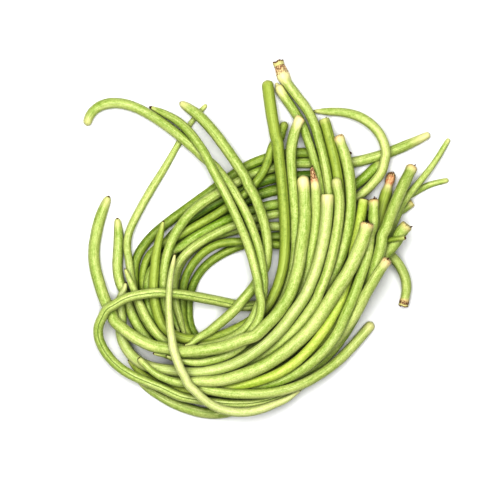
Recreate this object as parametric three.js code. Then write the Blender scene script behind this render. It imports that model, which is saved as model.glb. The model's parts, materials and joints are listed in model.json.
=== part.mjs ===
// A loose bunch of fresh yardlong beans, lying curled on a flat surface.
//
// Every pod grew as one piece, so every pod is one closed solid: its stalk end with what is left
// of the flower's calyx, its long body, and its tip. A pod is a slim tube swept along a route.
// The routes are drawn by hand on a plan seen from above. How high each stretch lies is worked out
// below, by letting the whole bunch sink under its own weight until pod rests on pod.
// Millimetres, +Z up, origin under the middle of the bunch on the surface that it lies on.

import * as THREE from 'three';

// Driving dimensions, millimetres.

const PLAN_UNIT = 0.8; // length of one unit of the plan that the routes are drawn on
const CLEARANCE = 0.85; // between pods that lie against each other
const SIDES = 8; // of a pod's section, with one flat side down
const FLAT_SIDE = Math.cos(Math.PI / SIDES); // from a section's middle to its flat, over its radius
const LINK = 4; // spacing of the points that the sinking moves
const CHORD_SAG = 0.35; // most that a straight stretch between two sections leaves its curve
const SECTION_SPACING = [7, 21]; // shortest and longest such stretch
const NEARLY_STRAIGHT = 1e-4; // radians of turn a millimetre, too little to need a section
const MEASURED_STEPS = 12; // steps between two links in which a pod's length is measured
const PROBES = [0, 5.25, 10.5, 15.75, 21]; // where the bend ahead of a section is looked at
const SHAPED_END = 17; // stretch at each end whose sections its own shape sets
const GIRTH_TOWARDS_TIP = 0.86; // a pod's girth near its tip, over its girth at the shoulder
const FLOOR_TOUCH = 0.3; // what lies closer to the surface than this is pressed flat on it

// What each kind of end looks like: [distance from the end, radius over the pod's radius].

const ENDS = {
  capped: [[0.5, 0.78], [3.2, 0.98], [6, 0.8], [15, 1]], // flared calyx, left when it was picked
  stalked: [[0.4, 0.34], [9, 0.34], [11.5, 0.76], [17, 0.93], [26, 1]], // stub of stalk, calyx
  cut: [[0.3, 0.86], [1.4, 0.97], [9, 1]], // broken off square
  rounded: [[0.4, 0.5], [2, 0.86], [6, 1]],
  pointed: [[0.4, 0.2], [4, 0.42], [14, 0.75], [34, 1]],
  nosed: [[0.4, 0.36], [2.5, 0.64], [8, 0.86], [17, 1]], // a short blunt taper
  slender: [[0.4, 0.34], [3, 0.5], [34, 0.64], [80, 1]], // a long thin neck or tip
  shared: [[0.5, 0.84], [4, 1.16], [9, 1.26], [14, 1.12], [17, 1]], // stalk end that bore two pods
};

// The pods. girth is the diameter in millimetres. level says only which of two pods lies on the
// other where they meet, the greater one on top, at even steps from the first end to the last.
// route is the middle line on the plan, from the stalk end to the tip, x to the right and y down.

const PODS = [
  // Pods that fan out at the top and sweep down the middle.
  { name: 'pod_01', tint: 'mid', girth: 9.6, ends: ['rounded', 'nosed'], level: [12],
    route: [[303, 179], [307, 215], [302, 262], [286, 305], [252, 337], [205, 353], [158, 351],
      [121, 328], [104, 296], [94, 260], [96, 240], [101, 218], [109, 199]] },
  { name: 'pod_02', tint: 'deep', girth: 8.6, ends: ['rounded', 'pointed'], level: [7.5, 7.5, 5, 5],
    route: [[268, 83], [272, 115], [279, 155], [285, 200], [288, 240], [286, 275], [270, 312],
      [237, 339], [200, 348], [173, 341], [160, 322], [155, 290], [158, 255], [165, 224]] },
  { name: 'pod_03', tint: 'mid', girth: 8, ends: ['capped', 'pointed'], level: [8, 8, 5.5, 6.5, 7],
    route: [[303, 120], [297, 130], [292, 155], [294, 190], [296, 230], [291, 272], [270, 315],
      [235, 341], [200, 350], [166, 342], [148, 318], [135, 291], [126, 271]] },
  { name: 'pod_04', tint: 'mid', girth: 7.4, ends: ['shared', 'pointed'], level: [6.6, 6.5, 6],
    route: [[279, 65], [284, 80], [292, 92], [303, 104], [312, 118], [319, 136], [326, 166],
      [331, 200], [330, 240], [322, 280], [303, 315], [275, 342], [245, 356]] },
  { name: 'pod_05', tint: 'mid', girth: 7.2, ends: ['rounded', 'pointed'], level: [6.2, 6.2, 5],
    route: [[280, 87], [286, 98], [296, 112], [305, 129], [316, 160], [323, 190], [325, 220],
      [318, 258], [300, 298], [270, 335], [225, 358]] },
  { name: 'pod_06', tint: 'deep', girth: 8.4, ends: ['cut', 'pointed'], level: [7, 7, 6],
    route: [[325, 122], [333, 150], [338, 180], [341, 215], [335, 250], [323, 285], [301, 318],
      [269, 345], [235, 360]] },
  { name: 'pod_07', tint: 'mid', girth: 8.2, ends: ['capped', 'nosed'], level: [9, 9, 8, 8],
    route: [[336, 139], [345, 161], [350, 192], [349, 222], [340, 262], [318, 300], [280, 334],
      [235, 361], [185, 358], [151, 340], [130, 308], [118, 272], [121, 246], [119, 221]] },
  { name: 'pod_08', tint: 'mid', girth: 7.6, ends: ['stalked', 'pointed'], level: [8.5, 8.5, 8],
    route: [[314, 170], [319, 197], [318, 228], [310, 272], [298, 302], [275, 331], [241, 352],
      [200, 362], [155, 358]] },
  { name: 'pod_09', tint: 'pale', girth: 9.6, ends: ['cut', 'pointed'], level: [11.5],
    route: [[331, 197], [330, 213], [325, 246], [310, 294], [291, 323], [263, 349], [230, 367],
      [193, 375], [153, 373], [129, 356], [120, 325], [129, 284]] },
  { name: 'pod_10', tint: 'mid', girth: 8, ends: ['rounded', 'pointed'], level: [9.2, 9, 8.6],
    route: [[336, 181], [340, 210], [337, 240], [325, 285], [309, 315], [285, 340], [255, 360],
      [215, 374], [175, 380]] },
  { name: 'pod_11', tint: 'mid', girth: 10.4, ends: ['capped', 'slender'], level: [12.5],
    route: [[370, 226], [367, 240], [359, 259], [347, 281], [331, 304], [304, 337], [264, 368],
      [220, 384], [185, 388], [160, 380], [140, 362]] },
  { name: 'pod_12', tint: 'bright', girth: 8, ends: ['cut', 'pointed'], level: [10, 10, 9],
    route: [[365, 202], [359, 230], [350, 281], [333, 322], [298, 365], [265, 384], [230, 392],
      [190, 393], [150, 382], [128, 362]] },
  { name: 'pod_13', tint: 'mid', girth: 8.2, ends: ['capped', 'pointed'], level: [8.5, 8.4, 8.3],
    route: [[376, 203], [376, 231], [366, 272], [342, 331], [322, 357], [294, 378], [259, 390],
      [215, 396], [175, 392]] },

  // Pods whose stalk ends fan out to the right.
  { name: 'pod_14', tint: 'deep', girth: 8.8, ends: ['capped', 'pointed'], level: [6],
    route: [[394, 176], [383, 214], [378, 242], [362, 288], [343, 320], [318, 350], [285, 374],
      [245, 388]] },
  { name: 'pod_15', tint: 'mid', girth: 8.8, ends: ['capped', 'pointed'], level: [7, 7, 6],
    route: [[414, 169], [396, 205], [381, 244], [361, 297], [330, 353], [288, 387], [250, 406],
      [214, 416], [166, 400], [140, 384]] },
  { name: 'pod_16', tint: 'mid', girth: 6.8, ends: ['slender', 'pointed'], level: [3.5],
    route: [[451, 141], [432, 171], [402, 207], [382, 246], [361, 298], [338, 335], [308, 364],
      [272, 384]] },
  { name: 'pod_17', tint: 'mid', girth: 7.2, ends: ['slender', 'pointed'], level: [2, 2, 3],
    route: [[451, 183], [430, 188], [400, 207], [352, 225], [306, 232], [250, 231], [203, 245],
      [182, 266], [177, 295], [184, 338]] },
  { name: 'pod_18', tint: 'mid', girth: 9.2, ends: ['cut', 'pointed'], level: [5],
    route: [[405, 225], [389, 244], [366, 279], [336, 330], [308, 360], [275, 380], [240, 388],
      [205, 386]] },
  { name: 'pod_19', tint: 'deep', girth: 6.6, ends: ['slender', 'pointed'], level: [7.2, 4, 2, 2],
    route: [[404, 241], [389, 243], [372, 246], [322, 251], [283, 246], [253, 243], [213, 248],
      [187, 277], [182, 310], [188, 343], [205, 362]] },
  { name: 'pod_20', tint: 'deep', girth: 6.6, ends: ['rounded', 'pointed'], level: [1],
    route: [[345, 232], [300, 236], [268, 241], [228, 254], [200, 273], [186, 305], [191, 337],
      [215, 352], [250, 352]] },
  { name: 'pod_21', tint: 'mid', girth: 7.2, ends: ['capped', 'pointed'], level: [4],
    route: [[405, 307], [409, 286], [400, 265], [386, 251], [368, 256], [350, 272], [326, 296],
      [303, 322], [272, 348], [235, 364]] },
  { name: 'pod_22', tint: 'mid', girth: 8, ends: ['capped', 'pointed'], level: [7.6],
    route: [[386, 260], [373, 278], [351, 317], [331, 347], [303, 371], [268, 392], [230, 402],
      [190, 402], [158, 392]] },

  { name: 'pod_37', tint: 'mid', girth: 6.6, ends: ['cut', 'pointed'], level: [2.5, 2.5, 3.2],
    route: [[414, 203], [401, 213], [388, 230], [372, 262], [350, 300], [324, 334], [290, 362],
      [250, 378], [210, 380]] },

  // Pods that run across the top and curl down the left side.
  { name: 'pod_23', tint: 'mid', girth: 8, ends: ['cut', 'pointed'], level: [3.5, 4, 4],
    route: [[431, 137], [404, 150], [376, 160], [343, 167], [303, 163], [264, 171], [222, 193],
      [190, 217], [168, 258], [164, 300], [170, 337], [190, 358]] },
  { name: 'pod_24', tint: 'mid', girth: 7.4, ends: ['rounded', 'pointed'], level: [4.2, 4.5, 3],
    route: [[383, 163], [350, 187], [315, 202], [278, 206], [238, 218], [192, 240], [159, 264],
      [145, 288], [149, 317], [166, 343]] },
  { name: 'pod_25', tint: 'deep', girth: 7.2, ends: ['rounded', 'pointed'], level: [3, 3, 1.5],
    route: [[353, 159], [330, 160], [290, 158], [255, 167], [220, 190], [183, 215], [149, 242],
      [135, 266], [139, 297], [155, 338], [185, 358]] },
  { name: 'pod_26', tint: 'deep', girth: 6.4, ends: ['rounded', 'pointed'], level: [4.8, 4.8, 2, 2],
    route: [[288, 125], [277, 148], [257, 186], [222, 214], [183, 237], [148, 259], [143, 295],
      [156, 330], [185, 350]] },
  { name: 'pod_27', tint: 'mid', girth: 7.2, ends: ['pointed', 'pointed'], level: [6, 6, 5.5, 4],
    route: [[315, 113], [355, 116], [378, 131], [388, 156], [371, 190], [335, 210], [283, 214],
      [248, 221], [207, 238], [176, 268], [176, 305], [186, 343]] },

  { name: 'pod_35', tint: 'deep', girth: 8, ends: ['rounded', 'pointed'], level: [2.4, 2.4, 1],
    route: [[352, 172], [310, 177], [270, 180], [236, 196], [204, 214], [176, 235], [156, 262],
      [152, 296], [160, 328], [182, 350]] },
  { name: 'pod_36', tint: 'deep', girth: 8, ends: ['rounded', 'pointed'], level: [1.8, 1.8, 0.5],
    route: [[348, 192], [305, 190], [270, 194], [238, 207], [208, 223], [182, 246], [169, 274],
      [170, 308], [184, 338], [212, 356]] },

  // Pods that come in from the upper left and cross the others.
  { name: 'pod_28', tint: 'mid', girth: 7.8, ends: ['nosed', 'pointed'], level: [9],
    route: [[87, 127], [87, 119], [102, 106], [128, 106], [168, 128], [204, 159], [236, 197],
      [257, 241], [265, 280], [260, 317], [237, 340], [199, 347]] },
  { name: 'pod_29', tint: 'mid', girth: 7, ends: ['pointed', 'pointed'], level: [10],
    route: [[150, 109], [181, 125], [207, 158], [235, 211], [253, 254], [263, 300], [256, 334],
      [230, 358], [197, 363], [168, 352]] },
  { name: 'pod_30', tint: 'mid', girth: 8.4, ends: ['nosed', 'pointed'], level: [8, 8, 8.2, 8.5],
    route: [[181, 105], [200, 118], [230, 155], [255, 197], [267, 243], [262, 276], [235, 312],
      [206, 338], [184, 352]] },
  { name: 'pod_31', tint: 'mid', girth: 6.4, ends: ['slender', 'pointed'], level: [7, 7, 5, 3],
    route: [[207, 106], [192, 123], [168, 165], [141, 210], [126, 245], [131, 268], [138, 308],
      [158, 346], [185, 362]] },

  // Pods that lie on top of the ring.
  { name: 'pod_32', tint: 'mid', girth: 7.8, ends: ['rounded', 'pointed'],
    level: [6, 7, 13.5, 14, 14, 14, 14, 14],
    route: [[266, 315], [258, 316], [217, 305], [170, 296], [125, 302], [99, 332], [117, 367],
      [163, 389], [217, 404], [257, 405], [286, 396], [308, 383], [326, 370]] },
  { name: 'pod_33', tint: 'pale', girth: 7.2, ends: ['slender', 'pointed'], level: [16],
    route: [[176, 257], [170, 292], [173, 337], [186, 377], [216, 408], [248, 413], [275, 404],
      [300, 390]] },
  { name: 'pod_34', tint: 'mid', girth: 8, ends: ['rounded', 'pointed'], level: [18, 18, 18, 13, 9, 8],
    route: [[374, 326], [360, 342], [340, 363], [320, 377], [298, 388], [255, 395], [215, 391],
      [180, 386], [153, 377], [136, 360]] },
];

// Small helpers.

const clamp = (value, low, high) => Math.min(high, Math.max(low, value));

// The value at a place between 0 and 1 in a list of values at even steps.
function alongSteps(values, fraction) {
  const place = clamp(fraction, 0, 1) * (values.length - 1);
  const before = Math.min(Math.floor(place), Math.max(values.length - 2, 0));
  const after = Math.min(before + 1, values.length - 1);
  return THREE.MathUtils.lerp(values[before], values[after], place - before);
}

// The radius share that an end's shape gives at a distance from that end.
function endShare(shape, distance) {
  let [lastAt, lastShare] = shape[0];
  for (const [at, share] of shape) {
    if (distance <= at) {
      const t = at > lastAt ? (distance - lastAt) / (at - lastAt) : 1;
      return THREE.MathUtils.lerp(lastShare, share, clamp(t, 0, 1));
    }
    [lastAt, lastShare] = [at, share];
  }
  return lastShare;
}

// A pod's radius at a distance from its stalk end.
function podRadius(pod, distance) {
  const taper = THREE.MathUtils.lerp(1, GIRTH_TOWARDS_TIP, clamp(distance / pod.length, 0, 1));
  const stalk = endShare(ENDS[pod.ends[0]], distance);
  const tip = endShare(ENDS[pod.ends[1]], pod.length - distance);
  return (pod.girth / 2) * taper * Math.min(stalk, tip);
}

// Routes: the plan's points become evenly spaced links, with the hand's wobble smoothed out.

const SMOOTHING_ROUNDS = 6;

function layOut(pod) {
  const corners = pod.route.map(([x, y]) => new THREE.Vector3(x * PLAN_UNIT, -y * PLAN_UNIT, 0));
  const curve = new THREE.CatmullRomCurve3(corners, false, 'centripetal');
  const count = Math.round(curve.getLength() / LINK);
  pod.links = curve.getSpacedPoints(count);
  for (let round = 0; round < SMOOTHING_ROUNDS; round += 1) {
    const old = pod.links.map((point) => point.clone());
    for (let i = 1; i < count; i += 1) {
      const middle = old[i - 1].clone().add(old[i + 1]).multiplyScalar(0.5);
      pod.links[i].lerp(middle, 0.5);
    }
  }
  pod.drawn = pod.links.map((point) => point.clone());
  pod.length = pod.links.reduce((sum, p, i, all) => sum + (i ? p.distanceTo(all[i - 1]) : 0), 0);
  pod.levels = pod.links.map((_, i) => alongSteps(pod.level, i / count));
  pod.radii = pod.links.map((_, i) => podRadius(pod, (pod.length * i) / count));
  pod.links.forEach((point, i) => {
    point.z = pod.radii[i] + pod.levels[i] * START_HEIGHT_PER_LEVEL;
  });
}

// Sinking: the links fall, bend no more sharply than a fresh pod does, stay above the surface and
// stay clear of each other, the pod of the higher level on top. The fall and the pull back to the
// plan fade first and the stiffness after them, so that in the end only what still touches is
// pushed clear.

const START_HEIGHT_PER_LEVEL = 2.5;
const ROUNDS = 2200;
const FALLEN_AT = 0.6; // share of the rounds after which nothing falls further
const LIMP_AT = 0.85; // share of the rounds after which there is only pushing
const FALL = 0.3; // in the first round
const STIFFNESS = 0.5;
const STRIDES = [4, 2, 1]; // links between the points whose bend is looked at
const PULL_TO_PLAN = 0.04; // share of the way back to its drawn place
const MOST_PUSHED = 0.5; // in one round
const UPPER_SHARE = 0.65; // of a push, the lower pod taking the rest
const SIDEWAYS = 0.4; // share of a push that may go sideways
const SIDE_BY_SIDE = 0.95; // pods further apart than this share of their girths need no order
const WATCHED = 2; // how far past touching two pods are still watched
const WATCH_ROUNDS = 30; // how often the list of such meetings is made anew
const GRID_CELL = 16;

// Meetings: a link of one pod, and the stretch between two links of another that lies nearest.
function findMeetings(pods) {
  const cells = new Map();
  const cellOf = (value) => Math.floor(value / GRID_CELL);
  for (const pod of pods) {
    for (let i = 0; i + 1 < pod.links.length; i += 1) {
      const key = `${cellOf(pod.links[i].x)} ${cellOf(pod.links[i].y)}`;
      if (!cells.has(key)) cells.set(key, []);
      cells.get(key).push({ pod, i });
    }
  }
  const meetings = [];
  for (const pod of pods) {
    pod.links.forEach((point, index) => {
      for (let row = -1; row <= 1; row += 1) {
        for (let column = -1; column <= 1; column += 1) {
          const key = `${cellOf(point.x) + column} ${cellOf(point.y) + row}`;
          for (const { pod: other, i } of cells.get(key) ?? []) {
            if (other === pod) continue;
            const a = other.links[i];
            const b = other.links[i + 1];
            const [ex, ey] = [b.x - a.x, b.y - a.y];
            const along = ((point.x - a.x) * ex + (point.y - a.y) * ey) / (ex * ex + ey * ey);
            const t = clamp(along, 0, 1);
            const apart = Math.hypot(point.x - a.x - ex * t, point.y - a.y - ey * t);
            const radius = THREE.MathUtils.lerp(other.radii[i], other.radii[i + 1], t);
            const needed = pod.radii[index] + radius + CLEARANCE;
            if (apart > needed + WATCHED) continue;
            const level = THREE.MathUtils.lerp(other.levels[i], other.levels[i + 1], t);
            meetings.push({ point, a, b, t, needed, above: pod.levels[index] > level });
          }
        }
      }
    });
  }
  return meetings;
}

// Pushes a meeting's two sides apart.
function pushApart({ point, a, b, t, needed, above }) {
  const dx = point.x - a.x - (b.x - a.x) * t;
  const dy = point.y - a.y - (b.y - a.y) * t;
  const across = Math.hypot(dx, dy);
  if (across >= needed) return;
  const dz = point.z - a.z - (b.z - a.z) * t;
  const over = across < needed * SIDE_BY_SIDE ? above : dz >= 0;
  const height = Math.sqrt(needed * needed - across * across);
  const push = Math.min(over ? height - dz : height + dz, MOST_PUSHED);
  if (push <= 0) return;
  point.z += push * (over ? UPPER_SHARE : UPPER_SHARE - 1);
  const answer = push * (over ? UPPER_SHARE - 1 : UPPER_SHARE);
  a.z += answer * (1 - t);
  b.z += answer * t;
  const aside = (push * SIDEWAYS * 0.5) / needed;
  point.x += dx * aside;
  point.y += dy * aside;
  a.x -= dx * aside * (1 - t);
  a.y -= dy * aside * (1 - t);
  b.x -= dx * aside * t;
  b.y -= dy * aside * t;
}

// Every bend in height pushes itself straight: its middle one way, and its two sides the other.
function straighten({ links }, stiffness) {
  for (const stride of STRIDES) {
    const heights = links.map((point) => point.z);
    for (let i = stride; i + stride < links.length; i += 1) {
      const bend = heights[i - stride] + heights[i + stride] - 2 * heights[i];
      links[i - stride].z -= (stiffness * bend) / 6;
      links[i].z += (stiffness * bend) / 3;
      links[i + stride].z -= (stiffness * bend) / 6;
    }
  }
}

// Sideways shifts are evened out along the pod and drawn back to the plan.
function holdToPlan({ links, drawn }, pull) {
  const shifts = links.map((p, i) => [p.x - drawn[i].x, p.y - drawn[i].y]);
  links.forEach((point, i) => {
    const before = shifts[Math.max(i - 1, 0)];
    const after = shifts[Math.min(i + 1, links.length - 1)];
    point.x = drawn[i].x + (1 - pull) * (0.5 * shifts[i][0] + 0.25 * (before[0] + after[0]));
    point.y = drawn[i].y + (1 - pull) * (0.5 * shifts[i][1] + 0.25 * (before[1] + after[1]));
  });
}

function settle(pods) {
  let meetings = [];
  for (let round = 0; round < ROUNDS; round += 1) {
    if (round % WATCH_ROUNDS === 0) meetings = findMeetings(pods);
    const fall = Math.max(0, 1 - round / (ROUNDS * FALLEN_AT));
    const stiff = Math.max(0, 1 - round / (ROUNDS * LIMP_AT));
    for (const pod of pods) {
      if (fall > 0) {
        for (const point of pod.links) point.z -= FALL * fall;
        holdToPlan(pod, PULL_TO_PLAN * fall);
      }
      if (stiff > 0) straighten(pod, STIFFNESS * stiff);
    }
    meetings.forEach(pushApart);
    for (const { links, radii } of pods) {
      links.forEach((point, i) => {
        point.z = Math.max(point.z, radii[i] * FLAT_SIDE);
      });
    }
  }
}

// Solids.

// Distances from the stalk end at which a pod has a section: close together where it bends or
// where an end is shaped, further apart where it is straight.
function sectionPlaces(pod, curve) {
  const shaped = (shape) => shape.map(([at]) => at).filter((at) => at <= SHAPED_END);
  const stalk = shaped(ENDS[pod.ends[0]]);
  const tip = shaped(ENDS[pod.ends[1]]).map((at) => pod.length - at).reverse();
  const tangent = (place) => curve.getTangentAt(clamp(place / pod.length, 0, 1));
  const body = [];
  let place = stalk[stalk.length - 1];
  while (place < tip[0] - SECTION_SPACING[0]) {
    const ahead = PROBES.map((distance) => tangent(place + distance));
    const bends = ahead.slice(1).map((direction, i) => direction.angleTo(ahead[i]));
    const turn = Math.max(...bends) / PROBES[1];
    const stretch = Math.sqrt((8 * CHORD_SAG) / Math.max(turn, NEARLY_STRAIGHT));
    place += clamp(stretch, ...SECTION_SPACING);
    if (place < tip[0] - SECTION_SPACING[0] / 2) body.push(place);
  }
  return [...stalk, ...body, ...tip];
}

// One section's corners, with a flat side down.
function section(middle, tangent, radius) {
  const side = new THREE.Vector3(0, 0, 1).cross(tangent).normalize();
  const up = new THREE.Vector3().crossVectors(tangent, side);
  const corners = [];
  for (let i = 0; i < SIDES; i += 1) {
    const angle = ((i + 0.5) / SIDES) * 2 * Math.PI - Math.PI / 2;
    const corner = middle.clone();
    corner.addScaledVector(side, radius * Math.cos(angle));
    corner.addScaledVector(up, radius * Math.sin(angle));
    corners.push(corner);
  }
  return corners;
}

function podGeometry(pod) {
  const curve = new THREE.CatmullRomCurve3(pod.links, false, 'centripetal');
  curve.arcLengthDivisions = pod.links.length * MEASURED_STEPS;
  pod.length = curve.getLength();
  const places = sectionPlaces(pod, curve);
  const points = [curve.getPointAt(0)];
  for (const place of places) {
    const u = clamp(place / pod.length, 0, 1);
    points.push(...section(curve.getPointAt(u), curve.getTangentAt(u), podRadius(pod, place)));
  }
  points.push(curve.getPointAt(1));
  for (const point of points) {
    if (point.z < FLOOR_TOUCH) point.z = 0;
  }

  const corner = (ring, i) => 1 + ring * SIDES + (i % SIDES);
  const lastRing = places.length - 1;
  const index = [];
  for (let i = 0; i < SIDES; i += 1) {
    index.push(0, corner(0, i + 1), corner(0, i));
    index.push(points.length - 1, corner(lastRing, i), corner(lastRing, i + 1));
    for (let ring = 0; ring < lastRing; ring += 1) {
      index.push(corner(ring, i), corner(ring, i + 1), corner(ring + 1, i + 1));
      index.push(corner(ring, i), corner(ring + 1, i + 1), corner(ring + 1, i));
    }
  }
  const geometry = new THREE.BufferGeometry().setFromPoints(points);
  geometry.setIndex(index);
  geometry.computeVertexNormals();
  return geometry;
}

// Materials: satin green skins, from deep to pale.

const skin = (color) => new THREE.MeshStandardMaterial({ color, roughness: 0.5, metalness: 0 });
const SKINS = {
  deep: skin(0x86ae42),
  mid: skin(0xa2c552),
  bright: skin(0xb9d649),
  pale: skin(0xcfe08a),
};

// The bunch.

PODS.forEach(layOut);
settle(PODS);

const bunch = new THREE.Group();
for (const pod of PODS) {
  const mesh = new THREE.Mesh(podGeometry(pod), SKINS[pod.tint]);
  mesh.name = pod.name;
  bunch.add(mesh);
}

const extent = new THREE.Box3().setFromObject(bunch);
const centre = extent.getCenter(new THREE.Vector3());
bunch.position.set(-centre.x, -centre.y, -extent.min.z);

export default bunch;
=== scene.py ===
# %% [markdown]
# # A bunch of yardlong beans
#
# Yardlong beans are the young pods of a climbing bean: thin green tubes, 6 to 11 mm thick and up
# to half a metre long. This bunch lies loose on a white table and is seen from straight above.
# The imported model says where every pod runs. This lesson dresses each of those plain eight-sided
# tubes as a real pod: round, lightly swollen over its seeds, with two seams, satin skin, and the
# pale, torn and browned ends where the pods were picked.

import json
import math
import random
from dataclasses import dataclass

import bmesh
import bpy
import numpy as np
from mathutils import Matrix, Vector


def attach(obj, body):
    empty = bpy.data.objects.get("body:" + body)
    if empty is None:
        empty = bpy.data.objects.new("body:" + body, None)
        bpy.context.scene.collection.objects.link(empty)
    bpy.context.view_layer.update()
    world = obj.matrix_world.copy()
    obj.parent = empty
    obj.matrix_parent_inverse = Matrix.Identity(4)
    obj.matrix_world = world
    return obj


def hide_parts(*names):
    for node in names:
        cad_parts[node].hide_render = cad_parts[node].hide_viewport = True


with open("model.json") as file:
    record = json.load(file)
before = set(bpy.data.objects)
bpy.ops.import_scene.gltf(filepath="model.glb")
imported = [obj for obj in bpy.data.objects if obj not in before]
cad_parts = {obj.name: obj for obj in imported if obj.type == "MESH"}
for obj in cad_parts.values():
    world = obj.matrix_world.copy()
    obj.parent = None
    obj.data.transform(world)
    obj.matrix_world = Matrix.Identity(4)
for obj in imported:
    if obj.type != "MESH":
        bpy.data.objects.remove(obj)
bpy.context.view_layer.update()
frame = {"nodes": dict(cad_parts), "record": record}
MM = 0.001  # one millimetre in Blender's metres
print(len(frame["nodes"]), "pods in the frame")

# %% [markdown]
# ## The camera
#
# The bunch was photographed from straight above through a long lens, so that pods at its edge
# are seen from above too and not from the side. A long lens far away gives that flat view. The
# picture is square, so one width sets the frame: 0.4 m across at the height where the pods lie.

# %% Camera straight above the bunch
VIEW_WIDTH = 0.4
VIEW_CENTRE = (-0.0139, -0.0081)
CAMERA_HEIGHT = 2.4
PODS_HEIGHT = 0.016  # the height at which most of the pods' upper sides lie
SENSOR = 36.0  # mm
NEAREST, FARTHEST = 0.1, 20.0  # what the camera sees, metres from it

camera = bpy.data.objects.new("camera", bpy.data.cameras.new("camera"))
bpy.context.scene.collection.objects.link(camera)
camera.data.sensor_width = SENSOR
camera.data.lens = SENSOR * (CAMERA_HEIGHT - PODS_HEIGHT) / VIEW_WIDTH
camera.location = (*VIEW_CENTRE, CAMERA_HEIGHT)
camera.data.clip_start = NEAREST
camera.data.clip_end = FARTHEST
bpy.context.scene.camera = camera
print("lens", round(camera.data.lens), "mm")

# %% [markdown]
# ## Light and table
#
# In a white studio tent, light comes from everywhere and a little more from above. A white world
# gives the first, and one very large, soft lamp overhead gives the second. The shadows are then
# faint on the open table and deep only between the pods, as in the photograph. The Standard view
# keeps a white table white, where Blender's usual view would turn it grey. The photograph is bright
# and strong in contrast, so the view is lightened a little and its darks are made darker.

# %% A white world, one large soft lamp and the table
WORLD_STRENGTH = 0.3
LAMP_POWER = 56.0  # watts
LAMP_SIZE = 1.7
LAMP_PLACE = (-0.15, 0.2, 1.8)
TABLE_SIZE = 8.0
EXPOSURE = 0.4  # stops
GAMMA = 0.58  # below 1 darkens what is dark already

scene = bpy.context.scene
scene.view_settings.view_transform = "Standard"
scene.view_settings.exposure = EXPOSURE
scene.view_settings.gamma = GAMMA
scene.world = bpy.data.worlds.new("white_tent")
scene.world.use_nodes = True
background = scene.world.node_tree.nodes["Background"]
background.inputs["Color"].default_value = (1.0, 1.0, 1.0, 1.0)
background.inputs["Strength"].default_value = WORLD_STRENGTH

lamp = bpy.data.objects.new("soft_lamp", bpy.data.lights.new("soft_lamp", "AREA"))
scene.collection.objects.link(lamp)
lamp.data.energy = LAMP_POWER
lamp.data.size = LAMP_SIZE
lamp.location = LAMP_PLACE
lamp.rotation_euler = (-Vector(LAMP_PLACE)).to_track_quat("-Z", "Y").to_euler()

bpy.ops.object.select_all(action="DESELECT")
bpy.ops.mesh.primitive_plane_add(size=TABLE_SIZE, location=(0, 0, 0))
table = bpy.context.object
table.name = "table"
print("lamp", LAMP_SIZE, "m across,", LAMP_POWER, "W")

# %% [markdown]
# ## Reading the routes
#
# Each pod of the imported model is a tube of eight-sided sections, closed at both ends by a point in
# the middle of its last section. Nothing has to be measured again: walking from one end point to
# its neighbours, and from those to theirs, gives the sections one after the other. The middle of
# each is a point of the pod's route, and its corners give the pod's thickness there.

# %% The sections of a packed pod
WELD = 1e-6  # loose corners closer than this are one corner
SIDES_OF_SOLID = 8
EDGES_BESIDE_AN_END = 5  # at each corner of a pod's first and last section
BESIDE_MIDDLE = (0.42, 0.58)  # where a pod's thickness tells its stalk half from its tip half


def sections_of(node):
    """The middle and radius of each section of a packed pod, from its stalk end, in metres."""
    solid = bmesh.new()
    solid.from_mesh(frame["nodes"][node].data)
    bmesh.ops.remove_doubles(solid, verts=solid.verts, dist=WELD)
    around = {v: [e.other_vert(v) for e in v.link_edges] for v in solid.verts}
    ends = [
        v for v in solid.verts
        if len(around[v]) == SIDES_OF_SOLID
        and all(len(around[n]) == EDGES_BESIDE_AN_END for n in around[v])
    ]
    ring, seen = {ends[0]}, {ends[0]}
    middles, radii = [], []
    while ring:
        middle = sum((v.co for v in ring), Vector()) / len(ring)
        middles.append(middle)
        radii.append(max((v.co - middle).length for v in ring))
        ring = {n for v in ring for n in around[v]} - seen
        seen |= ring
    solid.free()
    # A pod is a little thicker towards its stalk end.
    before, after = (round(share * len(radii)) for share in BESIDE_MIDDLE)
    if radii[before] < radii[after]:
        middles.reverse()
        radii.reverse()
    return np.array(middles), np.array(radii)


# %% [markdown]
# ## What each end looks like
#
# The pods differ most at their ends. Some broke off clean and are rounded and cream there, some
# keep a dry, torn cup from the flower, one keeps its stalk. A table of ends, each with its shape
# and its tints, and a second table that says which pod has which, keeps all of that in one place.
# Shapes are pairs: millimetres from the end, and the radius there over the radius at the last pair.
# Tints are (strength, full up to, gone at), in millimetres from the end.

# %% The kinds of end
@dataclass
class End:
    shape: list
    bulge: float = 0.0  # how far the last section's middle stands out, over its radius
    cream: tuple = (0.0, 0.0, 1.0)
    pink: tuple = (0.0, 0.0, 1.0)
    brown: tuple = (0.0, 0.0, 1.0)
    wrinkles: float = 0.0  # how deep the lengthwise folds are
    cup: float = 0.0  # length of the flower's dried cup, mm
    scraps: int = 0  # curled dark bits of it


ROUND = [(0, 0.42), (0.5, 0.64), (1.4, 0.85), (3, 0.97), (6, 1)]
BLUNT = [(0, 0.84), (0.4, 0.93), (1.2, 0.98), (3, 1), (9, 1)]
FLARED = [(0, 0.7), (0.5, 0.86), (1.4, 0.96), (3, 0.98), (6, 0.9), (9, 0.92), (15, 1)]
SWOLLEN = [(0, 0.45), (1, 0.66), (3, 0.8), (7, 0.82), (10, 0.72), (13, 0.82), (16, 1)]
SHARED = [(0, 0.62), (0.8, 0.84), (4, 1.08), (9, 1.3), (12.5, 1.36), (15.5, 1.18), (19, 1)]
STALK = [(0, 0.2), (0.6, 0.34), (3, 0.44), (7, 0.56), (9.5, 0.74), (12, 0.8), (16, 0.9), (26, 1)]
NECK = [(0, 0.5), (0.5, 0.75), (1.5, 0.92), (4, 1)]
NOSE = [(0, 0.3), (0.5, 0.45), (1.4, 0.58), (3, 0.7), (7, 0.85), (12, 0.94), (17, 1)]
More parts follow.
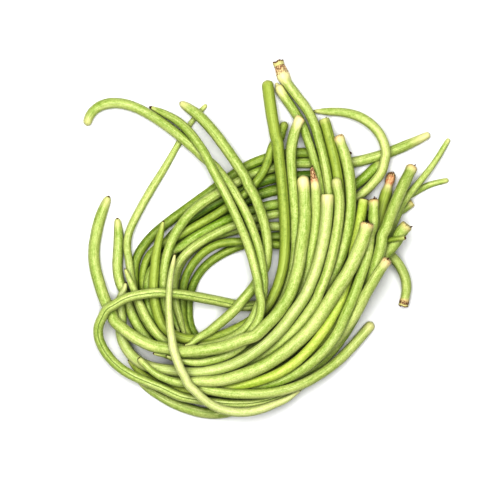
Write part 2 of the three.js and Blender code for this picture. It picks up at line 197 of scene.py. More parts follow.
TAPER = [(0, 0.5), (0.5, 0.62), (2, 0.7), (8, 0.82), (22, 1)]
POINT = [(0, 0.16), (0.5, 0.3), (1.2, 0.42), (2.5, 0.54), (4, 0.64), (8, 0.83), (14, 1)]

ENDS = {
    "cream": End(ROUND, 0.35, cream=(1, 4, 15), brown=(0.3, 0.5, 3), wrinkles=0.4),
    "pale": End(ROUND, 0.35, cream=(0.55, 1, 12), brown=(0.45, -0.3, 1.2), wrinkles=0.4),
    "green": End(ROUND, 0.35, cream=(0.25, 0.5, 5), brown=(0.7, -0.6, 0.7), wrinkles=0.3),
    "hidden": End(ROUND, 0.35, cream=(0.4, 1, 8)),
    "joined": End(NECK, 1.4, cream=(0.9, 3, 16)),
    "nosed": End(NOSE, 0.5, cream=(0.6, 2, 12), brown=(0.55, 0.2, 3), wrinkles=0.4),
    "tapered": End(TAPER, 0.4, cream=(0.7, 3, 24)),
    "cut": End(BLUNT, -0.12, cream=(0.8, 1, 12), brown=(0.4, 0.0, 1.5), wrinkles=0.3),
    "cut_green": End(BLUNT, -0.12, cream=(0.4, 0.6, 6), brown=(0.5, 0.1, 2), wrinkles=0.6, scraps=1),
    "cut_brown": End(BLUNT, -0.12, cream=(0.3, 1, 6), brown=(0.75, 0.2, 1.2), wrinkles=0.4),
    "dotted": End(BLUNT, -0.1, cream=(0.5, 1, 7), pink=(0.3, 1, 5), brown=(0.5, 0.8, 3.5),
                  wrinkles=0.6, scraps=1),
    "rough": End(FLARED, 0.1, cream=(1, 4, 13), pink=(0.4, 0.5, 3), brown=(0.36, 0.3, 3),
                 wrinkles=1.0),
    "spotted": End(FLARED, 0.1, cream=(0.85, 3, 10), pink=(0.5, 1, 5), brown=(0.54, 1, 5),
                   wrinkles=1.2, scraps=1),
    "rimmed": End(FLARED, -0.1, cream=(0.75, 2, 9), pink=(0.5, 1, 5), brown=(0.58, 0.3, 3.5),
                  wrinkles=1.2, scraps=2),
    "curled": End(FLARED, 0.1, cream=(0.5, 2, 9), pink=(0.6, 1, 4), brown=(0.6, 0.5, 3),
                  wrinkles=1.0, scraps=4),
    "calyx": End(SWOLLEN, 0.2, cream=(0.95, 10, 20), pink=(1, 9, 13), brown=(0.6, 2, 9),
                 wrinkles=3.0, scraps=3),
    "shared": End(SHARED, -0.1, cream=(1, 12, 21), pink=(0.7, 5, 12), brown=(0.56, 9, 14),
                  wrinkles=3.0, cup=3.5, scraps=3),
    "torn": End(FLARED, -0.2, cream=(0.8, 3, 8), pink=(0.8, 3, 7), brown=(0.62, 3, 8),
                wrinkles=1.6, cup=1.6, scraps=3),
    "stalk": End(STALK, 0.1, cream=(0.9, 12, 22), pink=(0.95, 10, 14), brown=(0.58, 9, 13),
                 wrinkles=2.4, scraps=1),
    "neck": End(NECK, 0.3, cream=(0.4, 1, 8)),
    "neck_dark": End(NECK, 0.3, cream=(0.3, 1, 8), brown=(0.7, 0.2, 1.4)),
    "nib": End(POINT, 0.8, cream=(0.35, 2, 9), brown=(0.8, 0.2, 1.5)),
    "pale_nib": End(POINT, 0.8, cream=(0.6, 4, 16), brown=(0.8, 0.5, 2.4)),
    "dark_nib": End(POINT, 0.8, cream=(0.3, 3, 9), brown=(0.95, 1, 3.5)),
    "blunt_nib": End(NOSE, 0.6, cream=(0.5, 3, 12), brown=(0.62, 0.2, 2)),
}
print(len(ENDS), "kinds of end")

# %% Which pod has which ends, and how light its skin is
# Stalk end, tip, and tone: 0 is the usual green of the pod's slot, below it deeper, above paler.
LOOKS = {
    "pod_01": ("cream", "blunt_nib", 0.3),
    "pod_02": ("green", "nib", 1.5),
    "pod_03": ("rough", "nib", 0.3),
    "pod_04": ("shared", "nib", 0.0),
    "pod_05": ("joined", "nib", -0.1),
    "pod_06": ("cut_green", "nib", 1.1),
    "pod_07": ("spotted", "blunt_nib", 0.1),
    "pod_08": ("stalk", "nib", 0.2),
    "pod_09": ("cut", "nib", -0.4),
    "pod_10": ("pale", "nib", 0.5),
    "pod_11": ("rimmed", "neck_dark", 0.5),
    "pod_12": ("cut_brown", "nib", 0.2),
    "pod_13": ("curled", "nib", -0.1),
    "pod_14": ("calyx", "nib", 2.4),
    "pod_15": ("rimmed", "nib", 0.0),
    "pod_16": ("neck", "nib", 0.1),
    "pod_17": ("neck", "nib", -0.1),
    "pod_18": ("dotted", "nib", -0.3),
    "pod_19": ("neck_dark", "nib", 0.3),
    "pod_20": ("hidden", "nib", 0.0),
    "pod_21": ("torn", "nib", 0.1),
    "pod_22": ("spotted", "nib", 0.4),
    "pod_23": ("tapered", "nib", 0.1),
    "pod_24": ("hidden", "nib", -0.8),
    "pod_25": ("dark_nib", "nib", 0.2),
    "pod_26": ("green", "nib", 0.6),
    "pod_27": ("nib", "nib", 0.6),
    "pod_28": ("pale", "nib", 0.3),
    "pod_29": ("dark_nib", "nib", 0.1),
    "pod_30": ("nosed", "nib", 0.2),
    "pod_31": ("neck", "nib", 0.4),
    "pod_32": ("hidden", "dark_nib", 0.3),
    "pod_33": ("pale_nib", "nib", 0.4),
    "pod_34": ("pale", "nib", 0.6),
    "pod_35": ("hidden", "nib", -1.0),
    "pod_36": ("hidden", "nib", -1.0),
    "pod_37": ("dotted", "nib", 0.0),
}
SEAM_UP = {"pod_32"}  # pods whose open seam faces the camera all along


# %% [markdown]
# ## One straight pod, modelled once
#
# All pods are the same tube before they grow their own shape. A cylinder laid along X and cut
# into rings by subdividing its long edges twice gives an even grid of small faces. Its round end
# faces are inset twice and poked, so that an end can bulge or sink in. Every pod starts as a copy.

# %% The master tube
SIDES = 24
CUTS = (14, 15)  # rings: (14 + 1) * (15 + 1)
INSETS = (0.3, 0.35)
END_FACE_SLACK = 0.01  # how far from 1 the X part of an end face's normal may be


def edit(piece):
    """Edit mode on one piece, with nothing selected."""
    bpy.ops.object.select_all(action="DESELECT")
    bpy.context.view_layer.objects.active = piece
    piece.select_set(True)
    bpy.ops.object.mode_set(mode="EDIT")
    bpy.ops.mesh.select_all(action="DESELECT")


def select(piece, kind, rule):
    """Selects the edges or faces of a piece in edit mode that a rule picks by their place."""
    grid = bmesh.from_edit_mesh(piece.data)
    for item in getattr(grid, kind):
        item.select_set(rule(item))
    grid.select_flush_mode()
    bmesh.update_edit_mesh(piece.data)


def is_long(edge):
    first, second = edge.verts
    return abs(first.co.x - second.co.x) > WELD


def is_end(face):
    return abs(abs(face.normal.x) - 1) < END_FACE_SLACK


def make_tube():
    """A closed unit tube along X from 0 to 1, with a radius of 1."""
    bpy.ops.object.select_all(action="DESELECT")
    bpy.ops.mesh.primitive_cylinder_add(
        vertices=SIDES, radius=1, depth=1, rotation=(0, math.pi / 2, 0), location=(0.5, 0, 0)
    )
    tube = bpy.context.object
    tube.name = "master_tube"
    bpy.ops.object.transform_apply(location=True, rotation=True, scale=True)
    edit(tube)
    bpy.ops.mesh.select_mode(type="EDGE")
    for cuts in CUTS:
        select(tube, "edges", is_long)
        bpy.ops.mesh.subdivide(number_cuts=cuts)
    bpy.ops.mesh.select_mode(type="FACE")
    select(tube, "faces", is_end)
    for thickness in INSETS:
        bpy.ops.mesh.inset(thickness=thickness)
    bpy.ops.mesh.poke()
    bpy.ops.object.mode_set(mode="OBJECT")
    return tube


TUBE = make_tube()
print("master tube:", len(TUBE.data.polygons), "faces")


def coordinates(piece):
    """The places of a piece's vertices as an array."""
    flat = np.empty(3 * len(piece.data.vertices))
    piece.data.vertices.foreach_get("co", flat)
    return flat.reshape(-1, 3)


def place(piece, places):
    """Moves a piece's vertices to the places in an array."""
    piece.data.vertices.foreach_set("co", np.ascontiguousarray(places).ravel())
    piece.data.update()


def copy_of(master, name):
    """A copy of a master piece with its own mesh."""
    piece = bpy.data.objects.new(name, master.data.copy())
    piece.data.name = name
    bpy.context.scene.collection.objects.link(piece)
    return piece


# %% [markdown]
# ## The flower's dried cup, and its curled scraps
#
# A bean flower sits in a small green cup, which dries to a brown, torn collar round the pod's
# stalk end. It is a short open cylinder whose rim is torn into five lobes, given a thin wall by a
# Solidify modifier. The scraps that hang from it are narrow strips, curled with a Simple Deform
# modifier. Both are made once, at unit size, and copied to each end that has them.

# %% The master cup and the master scrap
CUP_SIDES = 20
CUP_CUTS = 5
LOBES = 5
SCRAP_TURN = math.radians(230)
SCRAP_GRID = (14, 2)
SCRAP_WIDTH = 0.42  # over its length
SCRAP_TAPER = -0.9
SCRAP_THICKNESS = 0.12


def make_cup():
    """An open unit cylinder along X from 0, its rim, to 1, with a radius of 1."""
    bpy.ops.object.select_all(action="DESELECT")
    bpy.ops.mesh.primitive_cylinder_add(
        vertices=CUP_SIDES, radius=1, depth=1, end_fill_type="NOTHING",
        rotation=(0, math.pi / 2, 0), location=(0.5, 0, 0),
    )
    cup = bpy.context.object
    cup.name = "master_cup"
    bpy.ops.object.transform_apply(location=True, rotation=True, scale=True)
    edit(cup)
    bpy.ops.mesh.select_mode(type="EDGE")
    select(cup, "edges", is_long)
    bpy.ops.mesh.subdivide(number_cuts=CUP_CUTS)
    bpy.ops.object.mode_set(mode="OBJECT")
    return cup


def apply_modifiers(piece):
    """Applies every modifier of a piece, the first one first."""
    bpy.ops.object.select_all(action="DESELECT")
    bpy.context.view_layer.objects.active = piece
    piece.select_set(True)
    for name in [modifier.name for modifier in piece.modifiers]:
        bpy.ops.object.modifier_apply(modifier=name)


def make_scrap():
    """A narrow strip that curls up, 1 long, with its lowest corner at the origin."""
    bpy.ops.object.select_all(action="DESELECT")
    along, across = SCRAP_GRID
    bpy.ops.mesh.primitive_grid_add(x_subdivisions=along, y_subdivisions=across, size=2)
    scrap = bpy.context.object
    scrap.name = "master_scrap"
    edit(scrap)
    bpy.ops.mesh.select_all(action="SELECT")
    bpy.ops.transform.resize(value=(1.0, SCRAP_WIDTH, 1.0))
    bpy.ops.object.mode_set(mode="OBJECT")
    curl = scrap.modifiers.new("curl", "SIMPLE_DEFORM")
    curl.deform_method = "BEND"
    curl.deform_axis = "Y"
    curl.angle = SCRAP_TURN
    narrow = scrap.modifiers.new("narrow", "SIMPLE_DEFORM")
    narrow.deform_method = "TAPER"
    narrow.deform_axis = "X"
    narrow.factor = SCRAP_TAPER
    thick = scrap.modifiers.new("thick", "SOLIDIFY")
    thick.thickness = SCRAP_THICKNESS
    apply_modifiers(scrap)
    places = coordinates(scrap)
    place(scrap, (places - places.min(axis=0)) / np.ptp(places[:, 0]))
    return scrap


CUP = make_cup()
SCRAP = make_scrap()
print("master cup:", len(CUP.data.polygons), "faces, scrap:", len(SCRAP.data.polygons), "faces")


# %% [markdown]
# ## Growing a pod
#
# A straight pod is easiest to shape: its place along X is the distance from the stalk end, and
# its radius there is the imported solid's, swollen a little over each seed and closed by the shapes
# of its two ends. Seeds lie 9.5 to 15 mm apart, by a seeded draw, so that no two pods are alike and
# yet every run gives the same bunch. The section is not quite round either: it is drawn out a
# little towards the two seams, and the open seam lies in a shallow groove.

# %% Radius along a pod
SKIN_OVER_SOLID = 0.3  # mm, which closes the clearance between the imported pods
SEED_PITCH = (9.5, 15.0)
SEED_LENGTH = 4.4
SEED_SWELL = (0.004, 0.042)  # over the radius
FIRST_SEED = 20.0
FIRST_SEED_SPREAD = 8
OVAL = 0.035
SEAM_WIDTH = math.radians(11)
DENSE_ENDS = 0.82  # how much closer the rings lie at the ends
BODY_REACH = 8.0  # mm over which the solid's straight stretches are rounded off
CORNER_REACH = 0.35  # the same for the corners of an end's shape
SHARP_WITHIN = 0.4  # mm from the end in which a shape keeps its corners
SMOOTHING = np.linspace(-1, 1, 7)


def smooth_steps(at, places, values, reach):
    """Straight steps between values, with their corners rounded off over a reach."""
    return np.mean([np.interp(at + reach * k, places, values) for k in SMOOTHING], axis=0)


def girth_along(at, stations, radii, stalk, tip, length):
    """The radius in mm at distances from the stalk end, with both ends closed."""
    stalk_reach, tip_reach = stalk.shape[-1][0], tip.shape[-1][0]
    inner = (stations >= stalk_reach - 1) & (stations <= length - tip_reach + 1)
    body = smooth_steps(at, stations[inner], radii[inner] + SKIN_OVER_SOLID, BODY_REACH)
    for end, distance in ((stalk, at), (tip, length - at)):
        places, shares = np.array(end.shape, float).T
        sharp = np.interp(distance, places, shares)
        rounded = smooth_steps(distance, places, shares, CORNER_REACH)
        body = body * np.where(distance < SHARP_WITHIN, sharp, rounded)
    return body


def seeds_along(at, length, draw):
    """How far the seeds swell the pod at distances from its stalk end, over its radius."""
    swell = np.zeros_like(at)
    seed = FIRST_SEED + draw.uniform(0, FIRST_SEED_SPREAD)
    while seed < length - FIRST_SEED:
        swell += draw.uniform(*SEED_SWELL) * np.exp(-(((at - seed) / SEED_LENGTH) ** 2))
        seed += draw.uniform(*SEED_PITCH)
    return swell


def away_from(angle, seam):
    """The angle between a direction and a seam, from 0 to 180 degrees, in radians."""
    return np.abs((angle - seam + math.pi) % (2 * math.pi) - math.pi)


# %% Tints along a pod
def fade(distance, tint):
    """A tint's strength at distances from an end."""
    strength, full, gone = tint
    t = np.clip((gone - distance) / (gone - full), 0, 1)
    return strength * t * t * (3 - 2 * t)


def tints_along(at, stalk, tip, length):
    """Cream, pink and brown at distances from the stalk end, as three columns."""
    columns = []
    for name in ("cream", "pink", "brown"):
        at_stalk = fade(at, getattr(stalk, name))
        at_tip = fade(length - at, getattr(tip, name))
        columns.append(np.maximum(at_stalk, at_tip))
    return np.stack(columns, axis=1)


def store(piece, name, values):
    """Keeps three numbers for every vertex, which the material reads by name."""
    attribute = piece.data.attributes.new(name, "FLOAT_VECTOR", "POINT")
    attribute.data.foreach_set("vector", np.ascontiguousarray(values, np.float32).ravel())


# %% Lengthwise folds
WHOLE_TURN = 6.3  # radians, for a draw all the way round
FOLDS_ROUND = (5, 8, 13)  # how many folds lie round a pod, as three waves
FOLD_DRIFT = 0.3  # most that a fold turns, radians a mm


def wrinkle(angle, at, draw):
    """Uneven lengthwise folds, from -1 to 1."""
    folds = np.zeros_like(angle)
    for count in FOLDS_ROUND:
        start = draw.uniform(0, WHOLE_TURN)
        folds += np.sin(count * angle + start + at * draw.uniform(-FOLD_DRIFT, FOLD_DRIFT))
    return folds / len(FOLDS_ROUND)


# %% The body of a pod, still straight
NOISE_SPREAD = 4000.0  # mm, how far apart the pods' places in the skin's noise may be
TWIST = 0.006  # most that a seam turns round its pod, radians a mm
FOLD_DEPTH = 0.05  # over the radius, at an end whose wrinkles are 1
FOLDS_AT_STALK = (4, 14)  # mm from the stalk end, full up to and gone at
FOLDS_AT_TIP = (0.5, 2, 8)  # as a tint
GROOVE, OPEN_GROOVE = 0.03, 0.09  # depth over the radius
CLOSED_SEAM = 0.35  # how dark the line of a closed seam is, over an open one's
GROOVE_CLOSES = 12  # mm from the ends
LIP_PLACE, LIP_HEIGHT = 2.2, 0.45  # beside a groove, over its width and over its depth
SEED_ROUND = (0.4, 0.6)  # share of a seed's swelling all round, and more between the seams


def grow_body(name, stations, radii, length, draw):
    """A pod's body along X, with its tints and its places for the skin, and its stalk end."""
    stalk_name, tip_name, tone = LOOKS[name]
    stalk, tip = ENDS[stalk_name], ENDS[tip_name]
    body = copy_of(TUBE, name)
    master = coordinates(body)
    share = np.clip(master[:, 0], 0, 1)
    reach = np.hypot(master[:, 1], master[:, 2])
    angle = np.arctan2(master[:, 2], master[:, 1])
    at = length * (share - DENSE_ENDS * np.sin(2 * math.pi * share) / (2 * math.pi))

    if name in SEAM_UP:
        open_seam, twist, groove, seam_strength = math.pi / 2, 0.0, OPEN_GROOVE, 1.0
    else:
        open_seam = draw.uniform(-math.pi, math.pi)
        twist = draw.uniform(-TWIST, TWIST)
        groove, seam_strength = GROOVE, CLOSED_SEAM
    seam = open_seam + twist * at
    from_seam = away_from(angle, seam)

    girth = girth_along(at, stations, radii, stalk, tip, length)
    all_round, between_seams = SEED_ROUND
    seeds = seeds_along(at, length, draw) * (all_round + between_seams * np.sin(from_seam) ** 2)
    round_share = 1 + OVAL * np.cos(2 * from_seam) + seeds
    in_groove = np.exp(-((from_seam / SEAM_WIDTH) ** 2))
    lips = np.exp(-(((from_seam - LIP_PLACE * SEAM_WIDTH) / SEAM_WIDTH) ** 2))
    closing = np.clip(np.minimum(at, length - at) / GROOVE_CLOSES, 0, 1)
    round_share += groove * closing * (LIP_HEIGHT * lips - in_groove)
    folds = wrinkle(angle, at, draw)
    folded = fade(at, (stalk.wrinkles, *FOLDS_AT_STALK)) + fade(length - at, FOLDS_AT_TIP)
    round_share += FOLD_DEPTH * folds * folded

    radius = girth * round_share * reach
    dome = (1 - reach**2) * girth
    along = at - np.where(share < 0.5, stalk.bulge, -tip.bulge) * dome
    place(body, np.stack([along, radius * np.cos(angle), radius * np.sin(angle)], axis=1) * MM)

    offset = draw.uniform(0, NOISE_SPREAD)
    turned = angle - seam
    straight = np.stack([along + offset, radius * np.cos(turned), radius * np.sin(turned)], axis=1)
    store(body, "along", straight)
    store(body, "tints", tints_along(at, stalk, tip, length))
    # The third number is unused, because an attribute holds three.
    store(body, "marks", np.tile([seam_strength, tone, 0.0], (len(at), 1)))
    return body, stalk


# %% The cup and scraps of a stalk end, still straight
CUP_WALL = 0.3
CUP_OVERLAP = 0.28  # share of a cup that stands past the pod's end
CUP_LOBE, CUP_TEAR = 0.25, 0.4  # how far the rim's lobes reach, over the cup, and its tears, mm
CUP_FLARE, CUP_UNEVEN, CUP_LIFT = 0.1, 0.03, 0.12  # the last one in mm
SCRAP_LENGTH = (1.3, 2.5)
SCRAP_LEAN = 0.9  # radians, either way
SCRAP_ROOT = 0.86  # how far from the middle a scrap starts, over the pod's radius
SCRAP_SHIFT = 1.2  # mm along the pod
SCRAP_TINTS = (0.1, 0.2, 1.0)  # cream, pink and brown


def grow_cup(name, end, radius, draw):
    """The torn cup round a stalk end, whose pod has that radius in mm."""
    cup = copy_of(CUP, name + "_cup")
    master = coordinates(cup)
    share = master[:, 0]
    angle = np.arctan2(master[:, 2], master[:, 1])
    lobe = 0.5 + 0.5 * np.cos(LOBES * angle + draw.uniform(0, WHOLE_TURN))
    torn = wrinkle(2 * angle, share, draw)
    rim = (1 - share) ** 1.5
    uneven = CUP_LOBE * end.cup * lobe + CUP_TEAR * torn
    along = end.cup * (share - CUP_OVERLAP) - rim * uneven
    flare = 1.0 + CUP_FLARE * rim * lobe + CUP_UNEVEN * torn * rim
    height = radius * flare + CUP_LIFT * (1 - share)
    places = np.stack([along, height * np.cos(angle), height * np.sin(angle)], axis=1)
    place(cup, places * MM)
    store(cup, "along", places)
    browned = np.clip(end.brown[0] * (0.5 + 0.8 * rim), 0, 1)
    store(cup, "tints", np.stack([np.full_like(share, 0.25), 0.1 + 0.4 * rim, browned], axis=1))
    wall = cup.modifiers.new("wall", "SOLIDIFY")
    wall.thickness = CUP_WALL * MM
    wall.offset = 0.0
    soften = cup.modifiers.new("soften", "SUBSURF")
    soften.levels = soften.render_levels = 1
    apply_modifiers(cup)
    return cup


def grow_scraps(name, end, radius, draw):
    """Dark curled scraps at a stalk end."""
    scraps = []
    for number in range(end.scraps):
        scrap = copy_of(SCRAP, f"{name}_scrap_{number}")
        size = draw.uniform(*SCRAP_LENGTH)
        angle = draw.uniform(0, 2 * math.pi)
        lean = draw.uniform(-SCRAP_LEAN, SCRAP_LEAN)
        turned = [
            [-math.cos(lean), math.sin(lean), 0],
            [math.sin(lean), math.cos(lean), 0],
            [0, 0, 1],
        ]
        places = coordinates(scrap) * size @ np.array(turned)
        outward = np.array([0, math.cos(angle), math.sin(angle)])
        across = np.array([0, -math.sin(angle), math.cos(angle)])
        forward = np.array([1, 0, 0])
        along = places[:, :1] * forward + places[:, 1:2] * across + places[:, 2:] * outward
        shift = np.array([draw.uniform(0, SCRAP_SHIFT), 0, 0])
        along += outward * (radius * SCRAP_ROOT) + shift
        place(scrap, along * MM)
        store(scrap, "along", along)
        store(scrap, "tints", np.tile(SCRAP_TINTS, (len(along), 1)))
        scraps.append(scrap)
    return scraps


# %% [markdown]
# ## Bending a pod along its route
#
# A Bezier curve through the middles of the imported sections, with automatic handles, is the pod's
# route as one smooth line. A Curve modifier lays the straight pod along it, distance for distance.
# The curve keeps its own up direction up, so that a seam stays on the side where it grew. Where a
# pod lies on the table, its underside is a little flatter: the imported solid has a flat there.

# %% Route and bend
ROUTE_STEP = 0.0025  # middles closer together than this are left out of a route
ROUTE_RESOLUTION = 24
ROOM_UNDER = 1.04  # height over radius at which a pod stands clear of the table


def make_route(name, middles):
    """A Bezier curve through the middles, from the first to the last."""
    kept = [middles[0]]
    for middle in middles[1:-1]:
        clear_of_end = np.linalg.norm(middle - middles[-1]) > ROUTE_STEP
        if np.linalg.norm(middle - kept[-1]) > ROUTE_STEP and clear_of_end:
            kept.append(middle)
    kept.append(middles[-1])
    data = bpy.data.curves.new(name + "_route", "CURVE")
    data.dimensions = "3D"
    data.twist_mode = "Z_UP"
    data.resolution_u = ROUTE_RESOLUTION
    spline = data.splines.new("BEZIER")
    spline.bezier_points.add(len(kept) - 1)
    for point, middle in zip(spline.bezier_points, kept):
        point.co = middle
        point.handle_left_type = point.handle_right_type = "AUTO"
    route = bpy.data.objects.new(name + "_route", data)
    bpy.context.scene.collection.objects.link(route)
    bpy.context.view_layer.update()
    return route, spline.calc_length() / MM


def join(pieces):
    """Joins pieces into the first of them."""
    if len(pieces) == 1:
        return pieces[0]
    bpy.ops.object.select_all(action="DESELECT")
    for piece in pieces:
        piece.select_set(True)
    bpy.context.view_layer.objects.active = pieces[0]
    bpy.ops.object.join()
    return pieces[0]


def bend(pod, route):
    """Lays a straight pod along its route."""
    follow = pod.modifiers.new("follow", "CURVE")
    follow.object = route
    follow.deform_axis = "POS_X"
    apply_modifiers(pod)


def rest_on_table(pod, at, stations, middles, radii):
    """Flattens the underside of a pod where it lies on the table."""
    places = coordinates(pod)
    middle = np.interp(at, stations, middles[:, 2])
    drop = np.interp(at, stations, radii) + SKIN_OVER_SOLID * MM
    room = np.clip(middle / (ROOM_UNDER * drop), 0, 1)
    below = places[:, 2] < middle
    places[below, 2] = (middle + (places[:, 2] - middle) * room)[below]
    places[:, 2] = np.maximum(places[:, 2], 0)
    place(pod, places)


# %% [markdown]
# ## The skin
#
# A pod's skin is satin, not glossy. Its green is uneven in four ways: broad patches that are
# yellower or deeper, long fine fibres, a soft mottling and a fine speckle. All four are noise,
# stretched along the pod by reading the straight pod's own coordinates, which every vertex
# carries. The tints of the ends are stored on the vertices too, and noise breaks up their borders.
# A small class lets the shader's arithmetic be written as Python expressions.

# %% Shader arithmetic
class Value:
    """A node's output that takes part in Python expressions."""

    def __init__(self, tree, socket):
        self.tree = tree
        self.socket = socket

    def math(self, operation, first, second=0.0):
        return self.tree.node("ShaderNodeMath", {"operation": operation}, {0: first, 1: second})

    def __add__(self, other):
        return self.math("ADD", self, other)

    def __radd__(self, other):
        return self.math("ADD", other, self)

    def __sub__(self, other):
        return self.math("SUBTRACT", self, other)

    def __rsub__(self, other):
        return self.math("SUBTRACT", other, self)

    def __mul__(self, other):
        return self.math("MULTIPLY", self, other)

    def __rmul__(self, other):
        return self.math("MULTIPLY", other, self)

    def __abs__(self):
        return self.math("ABSOLUTE", self)

    def clamped(self):
        return self.tree.node("ShaderNodeClamp", {}, {0: self})


class Tree:
    """A material's nodes."""

    def __init__(self, name):
        self.material = bpy.data.materials.new(name)
        self.material.use_nodes = True
        self.nodes = self.material.node_tree.nodes
        self.links = self.material.node_tree.links
        self.nodes.clear()

    def node(self, kind, settings, inputs, output=0):
        """Adds a node, with its settings first and then its sockets' values or links."""
        node = self.nodes.new(kind)
        for name, value in settings.items():
            setattr(node, name, value)
        for name, value in inputs.items():
            if isinstance(value, Value):
                self.links.new(value.socket, node.inputs[name])
            else:
                node.inputs[name].default_value = value
        return Value(self, node.outputs[output]) if node.outputs else None

    def mix(self, factor, first, second):
        """A colour between two colours."""
        sockets = {0: factor, 6: first, 7: second}
        return self.node("ShaderNodeMix", {"data_type": "RGBA"}, sockets, 2)

    def attribute(self, name):
        """The three numbers that the vertices carry under a name."""
        vector = self.node("ShaderNodeAttribute", {"attribute_name": name}, {}, "Vector")
        parts = [self.node("ShaderNodeSeparateXYZ", {}, {0: vector}, axis) for axis in range(3)]
        return vector, *parts

    def noise(self, vector, stretch, detail):
        """Noise from about 0.2 to 0.8 whose grain is 1 / stretch across, per axis."""
        sockets = {0: vector, 1: stretch}
        scaled = self.node("ShaderNodeVectorMath", {"operation": "MULTIPLY"}, sockets)
        sockets = {"Vector": scaled, "Scale": 1.0, "Detail": detail}
        return self.node("ShaderNodeTexNoise", {}, sockets)

    def relief(self, height, strength):
        """A bumpy normal from a height in millimetres."""
        sockets = {"Height": height, "Distance": MM, "Strength": strength}
        return self.node("ShaderNodeBump", {}, sockets)

    def finish(self, **sockets):
        """The surface itself, from values or links of its sockets."""
        named = {name.replace("_", " ").title(): value for name, value in sockets.items()}
        surface = self.node("ShaderNodeBsdfPrincipled", {}, named)
        self.node("ShaderNodeOutputMaterial", {}, {"Surface": surface})
        return self.material


# %% The tints of the ends over a skin
CREAM = (0.6, 0.56, 0.34, 1)
PINK = (0.46, 0.22, 0.13, 1)
BROWN = (0.09, 0.036, 0.015, 1)
MEAN = 0.5  # of any noise
CREAM_BREAKS = 0.5  # how much the speckle breaks up the cream
PINK_GAIN, PINK_LESS = 2.2, 0.45  # the speckle's share in the pink, and what is taken off it
BROWN_GAIN, SPOT_GAIN, BROWN_LESS = 1.5, 0.9, 1.25  # the same for the brown and its spots
SPOT_SHARPNESS = 5.0


def ends_tinted(tree, colour, tints, speckle):
    """A colour with the ends' cream, pink and brown over it, and where it is brown."""
    _, cream, pink, brown = tints
    creamed = (cream + (speckle - MEAN) * CREAM_BREAKS * cream).clamped()
    colour = tree.mix(creamed, colour, CREAM)
    blushed = (pink * (speckle * PINK_GAIN - PINK_LESS)).clamped()
    colour = tree.mix(blushed, colour, PINK)
    browned = brown * BROWN_GAIN + speckle * SPOT_GAIN - BROWN_LESS
    spots = (browned * SPOT_SHARPNESS).clamped()
    return tree.mix(spots, colour, BROWN), spots


# %% The skin of a pod
DEEP_SHARE = 0.45  # how much of the deeper green an untouched skin shows
TONE_LIGHTENS = 0.3  # what a tone of 1 takes off that share
PATCHINESS, MOTTLING, SPECKLE = 1.1, 0.8, 1.3  # how much each noise adds to the deep share
PALE_FIBRES = (0.52, 2.6)  # the noise above which fibres are pale, and how sharply
DEEP_FIBRES = (0.42, 2.2)  # the noise below which they are deep, and how sharply
SEAM_SHARPNESS = 2.4  # 1 over half the width of a seam's line, mm
SEAM_SHADE = 0.45  # of the deeper green
SATIN, SATIN_SPREAD, BROWN_DULLNESS = 0.5, 0.25, 0.3  # roughness
FIBRE_RELIEF, MOTTLE_RELIEF, SPECKLE_RELIEF, SEAM_RELIEF = 0.16, 0.25, 0.22, 0.2  # mm
SKIN_BUMP = 0.8


def make_skin(name, deep, light, pale):
    """Pod skin between a deep and a light green, with pale fibres."""
    tree = Tree(name)
    along, _, _, across = tree.attribute("along")
    tints = tree.attribute("tints")
    _, seam_strength, tone, _ = tree.attribute("marks")

    patches = tree.noise(along, (0.022, 0.16, 0.16), 2.0)
    fibres = tree.noise(along, (0.035, 1.5, 1.5), 3.0)
    mottling = tree.noise(along, (0.28, 0.55, 0.55), 3.0)
    speckle = tree.noise(along, (0.9, 1.1, 1.1), 3.0)

    share = DEEP_SHARE + tone * -TONE_LIGHTENS + (patches - MEAN) * PATCHINESS
    share = share + (mottling - MEAN) * MOTTLING + (speckle - MEAN) * SPECKLE
    colour = tree.mix(share.clamped(), light, deep)
    from_noise, sharpness = PALE_FIBRES
    colour = tree.mix(((fibres - from_noise) * sharpness).clamped(), colour, pale)
    from_noise, sharpness = DEEP_FIBRES
    colour = tree.mix(((from_noise - fibres) * sharpness).clamped(), colour, deep)
    seam = (1.0 - abs(across) * SEAM_SHARPNESS).clamped() * seam_strength
    dark = (*(SEAM_SHADE * part for part in deep[:3]), 1)
    colour = tree.mix(seam, colour, dark)
    colour, spots = ends_tinted(tree, colour, tints, speckle)

    roughness = SATIN + (mottling - MEAN) * SATIN_SPREAD + spots * BROWN_DULLNESS
    height = fibres * FIBRE_RELIEF + mottling * MOTTLE_RELIEF + speckle * SPECKLE_RELIEF
    normal = tree.relief(height - seam * SEAM_RELIEF, SKIN_BUMP)
    return tree.finish(base_color=colour, roughness=roughness, normal=normal)


# %% The dry cup and scraps
DRY_ROUGHNESS, DRY_BROWN_DULLNESS = 0.6, 0.2
DRY_FOLD_RELIEF, DRY_SPECKLE_RELIEF = 0.5, 0.2  # mm
DRY_BUMP = 0.9
DRY_GREEN = (0.34, 0.42, 0.12, 1)


def make_dry(name):
    """The dry, wrinkled remains of the flower's cup."""
    tree = Tree(name)
    along, *_ = tree.attribute("along")
    tints = tree.attribute("tints")
    folds = tree.noise(along, (0.3, 1.8, 1.8), 4.0)
    speckle = tree.noise(along, (0.9, 1.1, 1.1), 3.0)
    colour, spots = ends_tinted(tree, tree.mix(folds, DRY_GREEN, CREAM), tints, speckle)
    roughness = DRY_ROUGHNESS + spots * DRY_BROWN_DULLNESS
    normal = tree.relief(folds * DRY_FOLD_RELIEF + speckle * DRY_SPECKLE_RELIEF, DRY_BUMP)
    return tree.finish(base_color=colour, roughness=roughness, normal=normal)


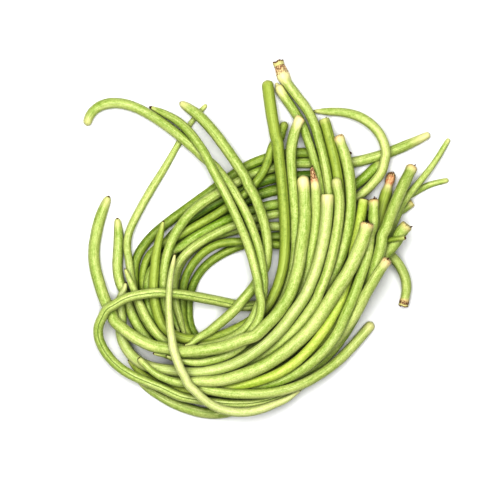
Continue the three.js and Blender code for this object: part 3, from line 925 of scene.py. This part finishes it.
# %% The greens of each slot, and the table
# The deeper green, the lighter green and the pale fibres.
GREENS = {
    "deep": [(0.09, 0.165, 0.006, 1), (0.31, 0.365, 0.09, 1), (0.41, 0.44, 0.17, 1)],
    "mid": [(0.175, 0.27, 0.014, 1), (0.46, 0.49, 0.23, 1), (0.52, 0.535, 0.33, 1)],
    "bright": [(0.22, 0.31, 0.02, 1), (0.46, 0.5, 0.16, 1), (0.53, 0.55, 0.24, 1)],
    "pale": [(0.3, 0.37, 0.11, 1), (0.5, 0.51, 0.29, 1), (0.56, 0.565, 0.39, 1)],
}
SKINS = {"pod_" + name: make_skin("skin_" + name, *greens) for name, greens in GREENS.items()}
DRY = make_dry("dry_cup")

TABLE_WHITE = (0.63, 0.63, 0.64, 1)
paper = Tree("white_table").finish(base_color=TABLE_WHITE, roughness=0.6)
table.data.materials.append(paper)
print("skins:", ", ".join(SKINS))

# %% [markdown]
# ## All the pods
#
# Each pod gets its own seeded draw, named after it, so that changing one pod leaves the others as
# they are. Body, cup and scraps are joined while still straight, and bent together.

# %% Make the bunch
SHARP_EDGE = math.radians(50)
slots = {part["node"]: part["material_slot"] for part in frame["record"]["subparts"]}


def make_pod(name):
    """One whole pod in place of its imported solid."""
    draw = random.Random(name)
    middles, radii = sections_of(name)
    route, length = make_route(name, middles)
    chords = np.concatenate([[0], np.cumsum(np.linalg.norm(np.diff(middles, axis=0), axis=1))])
    stations = chords * (length / chords[-1])

    body, stalk = grow_body(name, stations, radii / MM, length, draw)
    body.data.materials.clear()
    body.data.materials.append(SKINS[slots[name]])
    shape = np.array(stalk.shape)
    body_radius = np.interp(shape[-1, 0], stations, radii / MM) + SKIN_OVER_SOLID
    end_radius = float(body_radius * np.interp(stalk.cup, shape[:, 0], shape[:, 1]))
    extras = grow_scraps(name, stalk, end_radius, draw)
    if stalk.cup:
        extras.append(grow_cup(name, stalk, end_radius, draw))
    for extra in extras:
        extra.data.materials.clear()
        extra.data.materials.append(DRY)
    pod = join([body, *extras])

    at = np.clip(coordinates(pod)[:, 0], 0, length * MM)
    bend(pod, route)
    rest_on_table(pod, at, stations * MM, middles, radii)
    bpy.ops.object.shade_smooth_by_angle(angle=SHARP_EDGE)
    bpy.data.objects.remove(route)
    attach(pod, "root")
    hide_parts(name)
    return pod, length


lengths = {}
for node in sorted(slots):
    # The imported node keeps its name, so the visible pod gets one of its own.
    made, lengths[node] = make_pod(node)
    made.name = node + "_skin"
for master in (TUBE, CUP, SCRAP):
    bpy.data.objects.remove(master)
print("pod lengths, mm:", {node: round(length) for node, length in lengths.items()})
